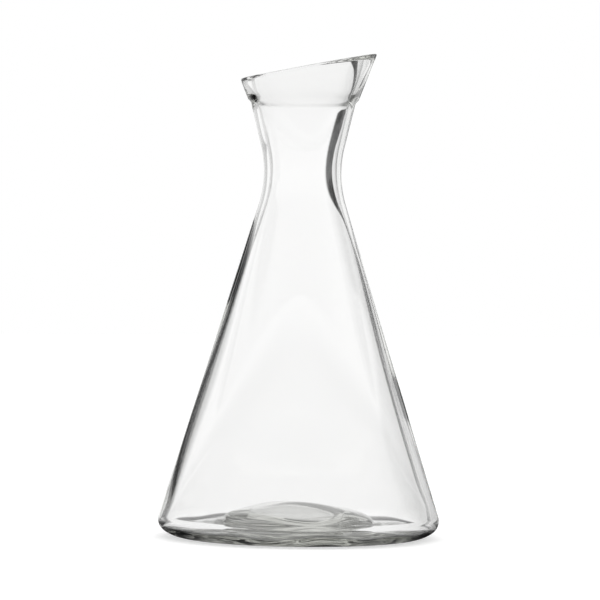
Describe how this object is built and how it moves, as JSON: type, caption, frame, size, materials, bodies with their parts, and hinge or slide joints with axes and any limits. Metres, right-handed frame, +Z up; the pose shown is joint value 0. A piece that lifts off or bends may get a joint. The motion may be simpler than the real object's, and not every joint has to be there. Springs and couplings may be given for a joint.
{
  "type": "water carafe",
  "caption": "Conical clear-glass table carafe with a slim waist, a stepped flared collar and a slanted rim whose high side is the pouring lip.",
  "frame": {"origin": "centre of the foot, on the surface that the carafe stands on", "axes": "+Z up along the carafe's axis, +X towards the high side of the slanted rim, which is the pouring lip"},
  "size_m": [0.118, 0.118, 0.2035],
  "materials": {
    "clear_glass": "clear soda-lime glass, fire-polished, faintly grey-green where it is thick"
  },
  "bodies": {
    "root": {"glass_vessel": "clear_glass"}
  },
  "joints": []
}
